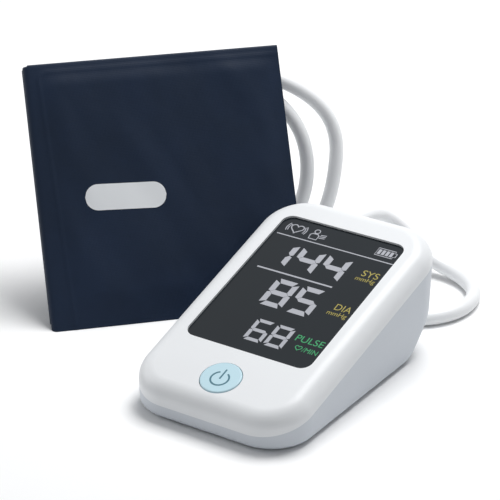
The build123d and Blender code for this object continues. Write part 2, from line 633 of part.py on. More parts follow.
# Plug: nose in the socket, grip behind it, its seal
nose_end = -SOCKET_DEPTH + NOSE_END_GAP
seal_at = nose_end + 3.0
grip_start = SOCKET_PROUD + PLUG_STOP
grip_end = grip_start + GRIP_LENGTH
plug = rod(socket_axis, NOSE_RADIUS, nose_end, grip_start)
grip_sketch = make_face(
    Polyline(
        (0, grip_start),
        (GRIP_RADIUS - 1.2, grip_start),
        (GRIP_RADIUS, grip_start + 1.2),
        (GRIP_RADIUS, grip_start + 0.6 * GRIP_LENGTH),
        (HOSE_RADIUS + 1.4, grip_end),
        (0, grip_end),
        close=True,
    )
)
grip = Plane(socket_axis.origin) * Rot(-90, 0, 0) * revolve(Plane.XZ * grip_sketch, Axis.Z)
for i in range(PLUG_RIBS):
    at = grip_start + 2.4 + i * PLUG_RIB_PITCH
    grip -= rod(socket_axis, GRIP_RADIUS + 1, at, at + 0.9) - rod(socket_axis, GRIP_RADIUS - 0.5, at, at + 0.9)
plug += grip
plug -= rod(socket_axis, HOSE_RADIUS + HOSE_GAP, grip_end - CUP_DEPTH, grip_end)
plug -= rod(socket_axis, NIPPLE_RADIUS, nose_end, grip_end)
plug -= rod(socket_axis, NOSE_RADIUS + 1, seal_at, seal_at + SEAL_WIDTH) - rod(
    socket_axis, NOSE_RADIUS - SEAL_WIDTH, seal_at, seal_at + SEAL_WIDTH
)
save("air_plug", plug)
seal_wire = SEAL_WIDTH / 2
seal = socket_axis.offset(seal_at + seal_wire) * Torus(NOSE_RADIUS - seal_wire, seal_wire)
save("plug_seal", seal)

# Cuff: one long cloth ribbon folded in four, leaning back on its hose
yaw = radians(CUFF_YAW)
lean = radians(CUFF_LEAN)
cuff_right = Vector(cos(yaw), sin(yaw), 0)
cuff_up = Vector(-sin(yaw) * sin(lean), cos(yaw) * sin(lean), cos(lean))
cuff_corner = Vector(-side_x - CUFF_BESIDE, rear_y - CUFF_BEFORE_REAR, 0)
cuff_plan = Plane(cuff_corner, x_dir=cuff_right, z_dir=cuff_up)
cuff_back = cuff_plan.y_dir
layer_gaps = [PAD_GAP, PAD_GAP, FOLD_GAP]
layer_fronts = [0.0]
for gap in layer_gaps:
    layer_fronts.append(layer_fronts[-1] + CLOTH + gap)
cuff_thickness = layer_fronts[-1] + CLOTH
fold_radii = [CLOTH + gap / 2 for gap in layer_gaps]
left_start = max(fold_radii[0], fold_radii[2])
ribbon = Sketch()
for front in layer_fronts:
    ribbon += Pos((left_start + CUFF_WIDTH - fold_radii[1]) / 2, front + CLOTH / 2) * Rectangle(
        CUFF_WIDTH - fold_radii[1] - left_start, CLOTH
    )
for i, gap in enumerate(layer_gaps):
    centre_q = layer_fronts[i] + CLOTH + gap / 2
    centre_a = CUFF_WIDTH - fold_radii[1] if i == 1 else left_start
    side = 1 if i == 1 else -1
    ring = Circle(fold_radii[i]) - Circle(gap / 2)
    ribbon += Pos(centre_a, centre_q) * (ring & Pos(side * CUFF_WIDTH / 2, 0) * Rectangle(CUFF_WIDTH, CUFF_WIDTH))
for i in (0, 3):
    ribbon += Pos(CUFF_WIDTH - fold_radii[1] / 2 - CLOTH / 2, layer_fronts[i] + CLOTH / 2) * Rectangle(
        fold_radii[1] + CLOTH, CLOTH
    )
table = block(-4 * CUFF_WIDTH, 4 * CUFF_WIDTH, -4 * CUFF_WIDTH, 4 * CUFF_WIDTH, -CUFF_WIDTH, 0)
cover = extrude(cuff_plan.offset(-CUFF_HEIGHT / 10) * ribbon, CUFF_HEIGHT * 1.1) - table
bladder_at = layer_fronts[3] + POCKET_WALL
bladder_depth = CLOTH - 2 * POCKET_WALL
bladder_plane = cuff_plan.offset(BLADDER_BOTTOM)
bladder_centre = Pos(PORT_ALONG - 4, bladder_at + bladder_depth / 2)
bladder_room = extrude(bladder_plane * bladder_centre * Rectangle(BLADDER_WIDTH, bladder_depth), BLADDER_HEIGHT)
cover -= bladder_room
port_plane = Plane(
    cuff_corner + cuff_right * PORT_ALONG + cuff_up * PORT_UP + cuff_back * cuff_thickness,
    x_dir=cuff_right,
    z_dir=cuff_back,
)
cover -= rod(port_plane, PORT_STEM_RADIUS + FIT_GAP / 2, -POCKET_WALL - 0.1, 1)
save("cuff_cover", cover)
slim = BLADDER_GAP
bladder = extrude(
    bladder_plane.offset(slim) * bladder_centre * Rectangle(BLADDER_WIDTH - 2 * slim, bladder_depth - 2 * slim),
    BLADDER_HEIGHT - 2 * slim,
)
save("air_bladder", bladder)
hook_q = layer_fronts[0] + CLOTH
hook_middle = Pos(CUFF_WIDTH - fold_radii[1] - HOOK_WIDTH / 2, hook_q + PAD_THICKNESS / 2)
pad_foot = cuff_plan.offset(PAD_MARGIN)
pad_height = CUFF_HEIGHT - 2 * PAD_MARGIN
save("hook_patch", extrude(pad_foot * hook_middle * Rectangle(HOOK_WIDTH, PAD_THICKNESS), pad_height))
loop_q = layer_fronts[1] + CLOTH
loop_middle = Pos(CUFF_WIDTH / 2 - PAD_MARGIN, loop_q + PAD_THICKNESS / 2)
save("loop_pad", extrude(pad_foot * loop_middle * Rectangle(LOOP_WIDTH, PAD_THICKNESS), pad_height))

# Port on the cuff's back, with the elbow that takes the hose
port = rod(port_plane, PORT_FLANGE_RADIUS, 0, PORT_FLANGE)
port += rod(port_plane, TURRET_RADIUS, 0, PORT_FLANGE + TURRET_HEIGHT)
port += rod(port_plane, PORT_STEM_RADIUS, -POCKET_WALL, 0)
port = fillet(port.edges().filter_by(GeomType.CIRCLE).sort_by(Axis(port_plane.origin, cuff_back))[-1], 1.0)
port -= rod(port_plane, PORT_STEM_RADIUS / 2, -POCKET_WALL, PORT_FLANGE + TURRET_HEIGHT)
save("cuff_port", port)
elbow_at = PORT_FLANGE + TURRET_HEIGHT
elbow = rod(port_plane, ELBOW_RADIUS, elbow_at, elbow_at + ELBOW_BODY)
elbow = fillet(elbow.edges().filter_by(GeomType.CIRCLE).sort_by(Axis(port_plane.origin, cuff_back))[-1], 2.0)
cup_out = elbow_at + ELBOW_BODY / 2
cup_plane = Plane(port_plane.origin + cuff_back * cup_out, x_dir=cuff_right, z_dir=cuff_up)
elbow += rod(cup_plane, ELBOW_CUP_RADIUS, 0, ELBOW_RADIUS + CUP_DEPTH + 1)
elbow -= rod(cup_plane, HOSE_RADIUS + HOSE_GAP, ELBOW_RADIUS + 1, ELBOW_RADIUS + CUP_DEPTH + 1)
elbow -= rod(cup_plane, NIPPLE_RADIUS, 0, ELBOW_RADIUS + 1)
elbow -= rod(port_plane, NIPPLE_RADIUS, elbow_at, cup_out)
save("port_elbow", elbow)


def bend_radii(points):
    """Largest easy bend at each inner corner: 0.45 of the shorter run over the tangent of half the turn."""
    radii = []
    for before, here, after in zip(points, points[1:], points[2:]):
        first = here - before
        second = after - here
        half_turn = radians(first.get_angle(second) / 2)
        radii.append(0.45 * min(first.length, second.length) / tan(half_turn))
    return radii


def tube(points, radius):
    """A round tube along a run of points with an easy bend at every corner."""
    radii = bend_radii(points)
    line = FilletPolyline(*points, radius=radii)
    start = Plane(points[0], z_dir=points[1] - points[0])
    body = sweep(start * Circle(radius), line)
    print("shortest bend", round(min(radii), 1), "length", round(line.length, 1))
    print("radii", [round(r, 1) for r in radii])
    print("volume", round(body.volume), "section by length", round(pi * radius**2 * line.length))
    return body


level_back = Vector(-sin(yaw), cos(yaw), 0)


def behind(along, back, height):
    """A point behind the cuff: along its width, back from its lower edge on the level, and up."""
    return cuff_corner + cuff_right * along + level_back * back + Vector(0, 0, height)


lie = HOSE_RADIUS
plug_end = Vector(SOCKET_X, rear_wall_y + grip_end - CUP_DEPTH, SOCKET_Z)
hose_end = cup_plane.origin + cuff_up * (ELBOW_RADIUS + 1)
hose_points = [
    plug_end,
    Vector(SOCKET_X, 118, SOCKET_Z),
    Vector(-14, 139, 26),
    Vector(2, 142, 8),
    Vector(26, 140, lie),
    Vector(43, 126, lie),
    Vector(46, 102, lie),
    Vector(34, 83, lie),
    Vector(12, 75, lie),
    Vector(-12, 75, lie),
    Vector(-34, 81, lie),
    Vector(-51, 97, lie),
    Vector(-60, 120, 12),
    Vector(-56, 137, 38),
    behind(177, 77, 75),
    behind(146, 81.5, 102),
    behind(97, 86.5, 110),
    behind(52, 79, 84),
    behind(46, 63, 40),
    behind(70, 57, lie),
    behind(110, 56, lie),
    behind(143, 58, 15),
    behind(159, 66, 47),
    behind(152, 74, 82),
    hose_end + cuff_up * 72 + cuff_right * 38 - level_back * 3,
    hose_end + cuff_up * 56 - cuff_right + level_back * 2,
    hose_end + cuff_up * 16,
    hose_end,
]
save("air_hose", tube(hose_points, HOSE_RADIUS))

# Tube from the passage down to the sensor
sensor_end = nipple_plane.origin + nipple_plane.z_dir * (SENSOR_SIDE / 2 + 0.2)
sensor_points = [
    sensor_end,
    sensor_end + nipple_plane.z_dir * 5,
    Vector(SOCKET_X, manifold_front - 8, SOCKET_Z),
    Vector(SOCKET_X, manifold_front, SOCKET_Z),
]
sensor_tube = tube(sensor_points, SENSOR_TUBE_RADIUS)
sensor_tube -= rod(nipple_plane, NIPPLE_RADIUS / 2 + NOSE_GAP, 0, SENSOR_SIDE / 2 + SENSOR_NIPPLE + NOSE_GAP)
save("sensor_tube", sensor_tube)
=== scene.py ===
# %% [markdown]
# # An upper arm blood pressure monitor
# The object is a sloped white monitor, a soft air hose and a cuff that is folded
# in four and leans on its own hose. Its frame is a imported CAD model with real
# sizes. This lesson loads it, gives each CAD piece the finish of the real one,
# and replaces the hose and the cloth with softer, more detailed pieces.

# %% Load the frame
import math

import bmesh
import bpy
from mathutils import Matrix, Vector
from mathutils.noise import noise as noise_at


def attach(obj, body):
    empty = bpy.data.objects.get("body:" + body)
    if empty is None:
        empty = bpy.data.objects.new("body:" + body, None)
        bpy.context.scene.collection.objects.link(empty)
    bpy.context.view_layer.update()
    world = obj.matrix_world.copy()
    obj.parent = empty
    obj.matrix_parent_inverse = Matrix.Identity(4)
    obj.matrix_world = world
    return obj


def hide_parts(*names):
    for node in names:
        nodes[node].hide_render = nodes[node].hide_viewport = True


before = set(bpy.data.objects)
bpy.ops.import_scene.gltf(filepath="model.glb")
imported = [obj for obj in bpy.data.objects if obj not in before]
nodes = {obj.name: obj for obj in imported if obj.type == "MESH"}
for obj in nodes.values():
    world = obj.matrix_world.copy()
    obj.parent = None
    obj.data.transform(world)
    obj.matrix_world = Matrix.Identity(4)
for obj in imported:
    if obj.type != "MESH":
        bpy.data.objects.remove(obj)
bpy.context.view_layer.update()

# %% [markdown]
# ## The camera
# A photograph has one camera. Its place and lens were worked out from edges whose
# real sizes are known: the display window, the base and the cuff's panel. A long
# lens far away keeps the monitor's long sides nearly parallel, as in the picture.

# %% Camera
MM = 0.001
# The place is in millimetres and the turns are in degrees.
CAMERA_PLACE = (547.17, -863.66, 560.22)
CAMERA_LOOKS_DOWN = 25.64
CAMERA_TURN = 33.41
camera_data = bpy.data.cameras.new("camera")
camera_data.lens = 163.0
camera_data.sensor_width = 36.0
camera_data.clip_start = 0.05
camera_data.clip_end = 20.0
camera = bpy.data.objects.new("camera", camera_data)
camera.location = Vector(CAMERA_PLACE) * MM
camera.rotation_euler = (math.radians(90.0 - CAMERA_LOOKS_DOWN), 0.0, math.radians(CAMERA_TURN))
bpy.context.collection.objects.link(camera)
bpy.context.scene.camera = camera
print("camera at", [round(c, 3) for c in camera.location])

# %% [markdown]
# ## Helpers for pieces
# Every finished piece is an object at the origin with its place in its mesh. One
# helper makes a mesh object from points and faces, another makes an evaluated
# copy of a curve or of a modifier's result, so that nothing live is left on it.
# A third turns a closed piece's faces outwards, counts its open edges and shades
# it.

# %% Helpers
SHARP_ANGLE = math.radians(60.0)


def mesh_piece(name, points, faces, material=None):
    """A mesh object from points in millimetres and faces."""
    mesh = bpy.data.meshes.new(name)
    mesh.from_pydata([Vector(p) * MM for p in points], [], faces)
    mesh.update()
    piece = bpy.data.objects.new(name, mesh)
    bpy.context.collection.objects.link(piece)
    if material is not None:
        mesh.materials.append(material)
    return piece


def baked(source, name):
    """A plain mesh copy of an object as its modifiers or its curve make it."""
    depsgraph = bpy.context.evaluated_depsgraph_get()
    mesh = bpy.data.meshes.new_from_object(source.evaluated_get(depsgraph), depsgraph=depsgraph)
    mesh.transform(source.matrix_world)
    piece = bpy.data.objects.new(name, mesh)
    bpy.context.collection.objects.link(piece)
    return piece


def drop(*sources):
    """Remove helper objects that are done with."""
    for source in sources:
        bpy.data.objects.remove(source)


def settle(piece, body, slot, *stands_for):
    """Let a piece ride on a body and stand for CAD nodes; the slot is not used."""
    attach(piece, body)
    if stands_for:
        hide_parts(*stands_for)
    print(piece.name, "faces", len(piece.data.polygons) if piece.type == "MESH" else "curve")


def finish_shell(piece):
    """Turn a closed piece's faces outwards and shade it smooth except at sharp edges."""
    shell = bmesh.new()
    shell.from_mesh(piece.data)
    bmesh.ops.recalc_face_normals(shell, faces=shell.faces)
    open_edges = sum(1 for edge in shell.edges if len(edge.link_faces) != 2)
    print(piece.name, "open edges", open_edges, "volume cm3", round(abs(shell.calc_volume()) * 1e6, 1))
    shell.to_mesh(piece.data)
    shell.free()
    piece.data.polygons.foreach_set("use_smooth", [True] * len(piece.data.polygons))
    piece.data.set_sharp_from_angle(angle=SHARP_ANGLE)


# %% [markdown]
# ## The air hose
# The hose is about 0.85 m of soft 8 mm tube. It leaves the plug in the monitor's
# rear wall, drops to the table, makes a loop on the right, passes under the rear
# overhang and then goes one and a half times round behind the cuff, down to the
# port. A NURBS curve led by a few control points bends like real tube, with no
# corners. Where the hose lies on the table its middle is one radius up.

# %% Hose route
cuff_yaw = math.radians(46.59)
cuff_lean = math.radians(31.64)
CUFF_CORNER = Vector((-127.24, -31.89, 0.0))
cuff_right = Vector((math.cos(cuff_yaw), math.sin(cuff_yaw), 0.0))
level_back = Vector((-math.sin(cuff_yaw), math.cos(cuff_yaw), 0.0))
cuff_up = level_back * math.sin(cuff_lean) + Vector((0.0, 0.0, math.cos(cuff_lean)))
cuff_back = level_back * math.cos(cuff_lean) - Vector((0.0, 0.0, math.sin(cuff_lean)))
HOSE_RADIUS = 4.0
CUFF_THICKNESS = 11.5
PORT_ALONG = 80.0
PORT_UP = 57.0
PORT_FLANGE = 1.2
TURRET_HEIGHT = 4.0
ELBOW_BODY = 14.0
ELBOW_RADIUS = 7.5
CUP_FLOOR = 1.0


def behind(along, back, height):
    """A point behind the cuff: along its width, back on the level, and up."""
    return CUFF_CORNER + cuff_right * along + level_back * back + Vector((0, 0, height))


elbow_out = PORT_FLANGE + TURRET_HEIGHT + ELBOW_BODY / 2
elbow_top = ELBOW_RADIUS + CUP_FLOOR
hose_end = (
    CUFF_CORNER
    + cuff_right * PORT_ALONG
    + cuff_up * (PORT_UP + elbow_top)
    + cuff_back * (CUFF_THICKNESS + elbow_out)
)
hose_start = Vector((-20.0, 88.3, 42.5))
hose_points = [
    hose_start,
    Vector((-20, 118, 42.5)),
    Vector((-14, 139, 26)),
    Vector((2, 142, 8)),
    Vector((26, 140, HOSE_RADIUS)),
    Vector((43, 126, HOSE_RADIUS)),
    Vector((46, 102, HOSE_RADIUS)),
    Vector((34, 83, HOSE_RADIUS)),
    Vector((12, 75, HOSE_RADIUS)),
    Vector((-12, 75, HOSE_RADIUS)),
    Vector((-34, 81, HOSE_RADIUS)),
    Vector((-51, 97, HOSE_RADIUS)),
    Vector((-60, 120, 12)),
    Vector((-56, 137, 38)),
    behind(177, 77, 75),
    behind(146, 81.5, 102),
    behind(97, 86.5, 110),
    behind(52, 79, 84),
    behind(46, 63, 40),
    behind(70, 57, HOSE_RADIUS),
    behind(110, 56, HOSE_RADIUS),
    behind(143, 58, 15),
    behind(159, 66, 47),
    behind(152, 74, 82),
    hose_end + cuff_up * 72 + cuff_right * 38 - level_back * 3,
    hose_end + cuff_up * 56 - cuff_right + level_back * 2,
    hose_end + cuff_up * 16,
    hose_end,
]

# %% Hose curve
hose_data = bpy.data.curves.new("air_hose", "CURVE")
hose_data.dimensions = "3D"
hose_line = hose_data.splines.new("NURBS")
hose_line.points.add(len(hose_points) - 1)
for control, point in zip(hose_line.points, hose_points):
    control.co = (*(point * MM), 1.0)
hose_line.order_u = 3
hose_line.use_endpoint_u = True
hose_line.resolution_u = 16
hose_data.bevel_depth = HOSE_RADIUS * MM
hose_data.bevel_resolution = 8
hose_data.use_fill_caps = True
hose = bpy.data.objects.new("soft_air_hose", hose_data)
bpy.context.collection.objects.link(hose)
print("hose points", len(hose_points), "end", [round(c, 1) for c in hose_end])

# %% [markdown]
# ## Finishes
# A moulded plastic is never one flat colour: its tone drifts a little over the
# piece and its surface has a fine grain. Noise on Object coordinates gives both,
# because the pieces stay at the origin. What is the same everywhere, such as the
# specular level, is set on the shader itself.

# %% Material helpers
TINT_START = 0.3
TINT_END = 0.7


def new_finish(name, roughness, metallic=0.0, specular=0.5):
    """A new material, its node tree and its shader."""
    material = bpy.data.materials.new(name)
    material.use_nodes = True
    tree = material.node_tree
    shader = tree.nodes["Principled BSDF"]
    shader.inputs["Roughness"].default_value = roughness
    shader.inputs["Metallic"].default_value = metallic
    shader.inputs["Specular IOR Level"].default_value = specular
    return material, tree, shader


def noise(tree, scale, detail=3.0, roughness=0.5):
    """A noise texture on Object coordinates, its scale in repeats per metre."""
    place = tree.nodes.new("ShaderNodeTexCoord")
    texture = tree.nodes.new("ShaderNodeTexNoise")
    texture.inputs["Scale"].default_value = scale
    texture.inputs["Detail"].default_value = detail
    texture.inputs["Roughness"].default_value = roughness
    tree.links.new(place.outputs["Object"], texture.inputs["Vector"])
    return texture


def tint(tree, shader, factor, dark, light):
    """Colour between two tones, led by a factor."""
    ramp = tree.nodes.new("ShaderNodeValToRGB")
    first, last = ramp.color_ramp.elements
    first.position = TINT_START
    last.position = TINT_END
    first.color = (*dark, 1.0)
    last.color = (*light, 1.0)
    tree.links.new(factor, ramp.inputs["Fac"])
    tree.links.new(ramp.outputs["Color"], shader.inputs["Base Color"])


def relief(tree, shader, height, distance):
    """Bump from a height, its distance in metres."""
    bump = tree.nodes.new("ShaderNodeBump")
    bump.inputs["Distance"].default_value = distance
    bump.inputs["Strength"].default_value = 1.0
    tree.links.new(height, bump.inputs["Height"])
    tree.links.new(bump.outputs["Normal"], shader.inputs["Normal"])


# %% Plastic, rubber and metal
DRIFT_SCALE = 14.0
GRAIN_SCALE = 2600.0
ROUGHNESS_BELOW = 0.04
ROUGHNESS_ABOVE = 0.05
MARKS_SCALE = 900.0
MARKS_DEPTH = 0.00001
MARKS_SHADE = 0.85


def moulded(name, colour, roughness=0.42, grain=0.00003, drift=0.03, specular=0.4):
    """Injection-moulded plastic: a slow drift of tone and a fine spark-eroded grain."""
    material, tree, shader = new_finish(name, roughness, specular=specular)
    slow = noise(tree, DRIFT_SCALE)
    dark = [c * (1.0 - drift) for c in colour]
    tint(tree, shader, slow.outputs["Fac"], dark, colour)
    fine = noise(tree, GRAIN_SCALE, detail=2.0)
    relief(tree, shader, fine.outputs["Fac"], grain)
    rough_range = tree.nodes.new("ShaderNodeMapRange")
    rough_range.inputs["To Min"].default_value = roughness - ROUGHNESS_BELOW
    rough_range.inputs["To Max"].default_value = roughness + ROUGHNESS_ABOVE
    tree.links.new(slow.outputs["Fac"], rough_range.inputs["Value"])
    tree.links.new(rough_range.outputs["Result"], shader.inputs["Roughness"])
    return material


def plated(name, colour, roughness=0.3):
    """Plated sheet metal or wire with faint drawing marks."""
    material, tree, shader = new_finish(name, roughness, metallic=1.0)
    marks = noise(tree, MARKS_SCALE, detail=4.0)
    tint(tree, shader, marks.outputs["Fac"], [c * MARKS_SHADE for c in colour], colour)
    relief(tree, shader, marks.outputs["Fac"], MARKS_DEPTH)
    return material


white_shell = moulded("white_shell", (0.79, 0.805, 0.82), roughness=0.36)
grey_shell = moulded("grey_shell", (0.60, 0.635, 0.68), roughness=0.42)
pale_blue_key = moulded("pale_blue_key", (0.52, 0.72, 0.80), roughness=0.35, grain=0.00001)
key_symbol = moulded("key_symbol", (0.06, 0.17, 0.22), roughness=0.5, grain=0.00001)
smoked_lens = moulded(
    "smoked_lens", (0.010, 0.015, 0.020), roughness=0.08, grain=0.0, drift=0.2, specular=0.22
)
lcd_glass = moulded("lcd_glass", (0.03, 0.04, 0.045), roughness=0.2, grain=0.0)
pale_segments = moulded("pale_segments", (0.40, 0.41, 0.45), roughness=0.6, grain=0.0)
yellow_units = moulded("yellow_units", (0.36, 0.30, 0.06), roughness=0.6, grain=0.0)
green_units = moulded("green_units", (0.03, 0.32, 0.12), roughness=0.6, grain=0.0)
inner_white = moulded("inner_white", (0.80, 0.80, 0.77), roughness=0.5)
inner_grey = moulded("inner_grey", (0.30, 0.31, 0.33), roughness=0.5)
solder_green = moulded("solder_green", (0.02, 0.16, 0.07), roughness=0.3, drift=0.25, grain=0.00001)
component_black = moulded("component_black", (0.02, 0.02, 0.022), roughness=0.45)
soft_grey_rubber = moulded("soft_grey_rubber", (0.14, 0.14, 0.15), roughness=0.7, grain=0.00005)
soft_tube = moulded("soft_tube", (0.87, 0.88, 0.89), roughness=0.36, grain=0.00002, drift=0.05)
navy_moulding = moulded("navy_moulding", (0.015, 0.024, 0.05), roughness=0.5)
battery_sleeve = moulded("battery_sleeve", (0.06, 0.065, 0.075), roughness=0.25, grain=0.0)
nickel = plated("nickel", (0.62, 0.60, 0.55))
screw_steel = plated("screw_steel", (0.5, 0.5, 0.5), roughness=0.35)

# %% Finishes on the CAD pieces
node_finishes = {
    "upper_case": white_shell,
    "lower_case": grey_shell,
    "battery_door": grey_shell,
    "display_lens": smoked_lens,
    "display_cell": lcd_glass,
    "display_frame": inner_white,
    "main_board": solder_green,
    "board_components": component_black,
    "board_screws": screw_steel,
    "case_screws": screw_steel,
    "power_button": pale_blue_key,
    "power_switch": component_black,
    "switch_plunger": inner_white,
    "pressure_sensor": component_black,
    "beeper": component_black,
    "batteries": battery_sleeve,
    "front_battery_contacts": nickel,
    "rear_battery_contacts": nickel,
    "rubber_feet": soft_grey_rubber,
    "pump_motor": nickel,
    "pump_head": component_black,
    "pump_bushes": soft_grey_rubber,
    "pump_straps": nickel,
    "air_socket": inner_grey,
    "air_manifold": soft_grey_rubber,
    "release_valve": component_black,
    "sensor_tube": soft_tube,
    "dc_jack": component_black,
    "dc_jack_pin": nickel,
    "air_plug": soft_tube,
    "plug_seal": soft_grey_rubber,
    "port_elbow": soft_tube,
    "cuff_port": navy_moulding,
    "air_bladder": soft_grey_rubber,
    "hook_patch": component_black,
    "loop_pad": component_black,
}
for node, finish in node_finishes.items():
    for slot in nodes[node].material_slots:
        slot.material = finish
print("finished nodes", len(node_finishes))

# %% Hose finish
hose_data.materials.append(soft_tube)
settle(hose, "cuff_and_hose", "hose_white", "air_hose")

# %% [markdown]
# ## What the display shows
# The display is a dark panel under a smoked lens. Its numbers have seven bars a
# digit, its marks are thin strokes, and its units are short words. All of them
# lie flat on the lens, so they are drawn in the plane of the sloped face, across
# (u) and up (w), and given a hair of thickness. One small shift, across and up,
# brings the whole picture to its place in the window.

# %% Drawing in the face's plane
FACE_SLOPE = math.radians(16.1)
face_origin = Vector((0.0, -39.8, 29.962))
face_w = Vector((0.0, math.cos(FACE_SLOPE), math.sin(FACE_SLOPE)))
face_normal = Vector((0.0, -math.sin(FACE_SLOPE), math.cos(FACE_SLOPE)))
LENS_DEPTH = 1.2
INK = 0.05
SHOWN_U = -0.8
SHOWN_W = 1.0


def face_point(u, w, h=0.0):
    """A point over the sloped face: across, up along the slope and out along its normal."""
    return face_origin + Vector((u, 0, 0)) + face_w * w + face_normal * h


def rectangle(left, right, low, high):
    """The outline of an upright rectangle."""
    return [(left, low), (right, low), (right, high), (left, high)]


def printed(name, outlines, material, low, high, slot, body="monitor", shift=(SHOWN_U, SHOWN_W)):
    """Flat outlines in the face's plane, made into thin closed plates."""
    points = []
    faces = []
    for outline in outlines:
        area = sum(a[0] * b[1] - b[0] * a[1] for a, b in zip(outline, outline[1:] + outline[:1]))
        if area < 0:
            outline = outline[::-1]
        start = len(points)
        count = len(outline)
        for h in (low, high):
            points += [face_point(u + shift[0], w + shift[1], h) for u, w in outline]
        faces.append([start + count + i for i in range(count)])
        faces.append([start + count - 1 - i for i in range(count)])
        for i in range(count):
            j = (i + 1) % count
            faces.append([start + i, start + j, start + count + j, start + count + i])
    settle(mesh_piece(name, points, faces, material), body, slot)


def stroke(points, width, closed=False):
    """Outlines of a line of even width, one plate for each of its runs."""
    outlines = []
    ends = points[1:] + points[:1] if closed else points[1:]
    offsets = []
    total = len(points)
    for i in range(total):
        before = points[i - 1] if i or closed else points[i]
        after = points[(i + 1) % total] if i < total - 1 or closed else points[i]
        way = Vector((after[0] - before[0], after[1] - before[1])).normalized()
        offsets.append(Vector((-way.y, way.x)) * width / 2)
    for i, end in enumerate(ends):
        j = (i + 1) % total
        here = points[i]
        outlines.append([
            (here[0] + offsets[i].x, here[1] + offsets[i].y),
            (here[0] - offsets[i].x, here[1] - offsets[i].y),
            (end[0] - offsets[j].x, end[1] - offsets[j].y),
            (end[0] + offsets[j].x, end[1] + offsets[j].y),
        ])
    return outlines


# %% [markdown]
# ## Seven-bar digits
# Each digit lights some of seven bars. The bars meet in mitres with a fine gap,
# and the digit's outer corners are cut. One function gives the bars of any digit
# at any size, so the three rows differ only in their sizes.

# %% Digits
BARS_LIT = {"1": "bc", "4": "bcfg", "5": "acdfg", "6": "acdefg", "8": "abcdefg"}
BAR_GAP = 0.07
# The upright bars' outer sides stop short of the middle by this share of half a bar.
BAR_NOTCH = 0.4


def digit_bars(width, height, bar, corner):
    """Outlines of the seven bars of a digit that stands on the origin."""
    half = height / 2
    thin = bar / 2
    over = half + thin
    under = half - thin
    notch = thin * BAR_NOTCH
    right = width - bar
    top = height - bar
    tip = width - thin
    return {
        "a": [(corner, height), (width - corner, height), (right, top), (bar, top)],
        "b": [(width, height - corner), (width, half + notch), (tip, half), (right, over), (right, top)],
        "c": [(width, corner), (right, bar), (right, under), (tip, half), (width, half - notch)],
        "d": [(corner, 0), (bar, bar), (right, bar), (width - corner, 0)],
        "e": [(0, corner), (0, half - notch), (thin, half), (bar, under), (bar, bar)],
        "f": [(0, height - corner), (bar, top), (bar, over), (thin, half), (0, half + notch)],
        "g": [(bar, over), (right, over), (tip, half), (right, under), (bar, under), (thin, half)],
    }


def digits(text, lefts, base, width, height, bar, corner):
    """Outlines of a row of digits whose left sides are given."""
    outlines = []
    for character, left in zip(text, lefts):
        for key, outline in digit_bars(width, height, bar, corner).items():
            if key not in BARS_LIT[character]:
                continue
            middle_u = sum(u for u, w in outline) / len(outline)
            middle_w = sum(w for u, w in outline) / len(outline)
            outlines.append([
                (
                    left + u + math.copysign(min(BAR_GAP, abs(middle_u - u)), middle_u - u),
                    base + w + math.copysign(min(BAR_GAP, abs(middle_w - w)), middle_w - w),
                )
                for u, w in outline
            ])
    return outlines


number_bars = digits("144", (-29.6, -13.6, 2.4), base=62.4, width=14.0, height=19.4, bar=3.4, corner=1.4)
number_bars += digits("85", (-13.6, 2.4), base=33.8, width=14.0, height=21.0, bar=3.4, corner=1.7)
number_bars += digits("68", (-6.4, 5.7), base=7.9, width=10.8, height=16.2, bar=2.3, corner=1.0)
line_under_marks = rectangle(-33.8, 36.6, 85.7, 86.4)
line_between_rows = rectangle(-29.0, 16.3, 58.3, 59.3)
number_bars += [line_under_marks, line_between_rows]
printed("number_bars", number_bars, pale_segments, -LENS_DEPTH, -LENS_DEPTH + INK, "display_glass")

# %% [markdown]
# ## Marks over the numbers
# A heart between two waves says that a pulse is found, a small figure with a
# band says how the cuff sits, and a battery shows its charge. Each is a stroke
# along a few points.

# %% Marks


def heart(u, w, size, count=28):
    """Points round a heart shape of a given width about its centre."""
    points = []
    # The curve by itself is 32 wide and its middle lies 2.5 below its origin.
    for i in range(count):
        t = 2 * math.pi * i / count
        x = 16 * math.sin(t) ** 3
        y = 13 * math.cos(t) - 5 * math.cos(2 * t) - 2 * math.cos(3 * t) - math.cos(4 * t)
        points.append((u + x * size / 32, w + (y + 2.5) * size / 32))
    return points


def arc(u, w, radius, start, end, count=8):
    """Points on part of a circle, its angles in degrees."""
    turn = [math.radians(start + (end - start) * i / (count - 1)) for i in range(count)]
    return [(u + radius * math.cos(a), w + radius * math.sin(a)) for a in turn]


HEART_U = -25.4
HEART_W = 92.2
WAVES_W = 92.4
WAVE_RADII = (4.9, 6.0)
BAND_LINES_W = (90.2, 91.4, 92.6)
figure_trunk = [(-15.9, 88.4), (-16.3, 91.4), (-15.4, 92.6), (-12.2, 92.6), (-11.2, 91.6), (-11.2, 88.4)]
battery_foot = [(23.4, 89.8), (33.6, 89.8)]
battery_tip = [(33.6, 91.2), (34.8, 91.2), (34.8, 94.0), (33.6, 94.0)]
battery_head = [(33.6, 95.4), (23.4, 95.4)]
marks = stroke(heart(HEART_U, HEART_W, size=7.4), width=0.6, closed=True)
for radius in WAVE_RADII:
    marks += stroke(arc(HEART_U, WAVES_W, radius, start=145, end=205), width=0.5)
    marks += stroke(arc(HEART_U, WAVES_W, radius, start=-25, end=35), width=0.5)
figure_head = arc(-13.7, 94.6, radius=1.5, start=0, end=340, count=12)
marks += stroke(figure_head, width=0.55, closed=True)
marks += stroke(figure_trunk, width=0.6, closed=True)
for w in BAND_LINES_W:
    marks += stroke([(-10.6, w), (-7.2, w + 0.5)], width=0.55)
marks += stroke(battery_foot + battery_tip + battery_head, width=0.5, closed=True)
printed("display_marks", marks, pale_segments, -LENS_DEPTH, -LENS_DEPTH + INK, "display_glass")
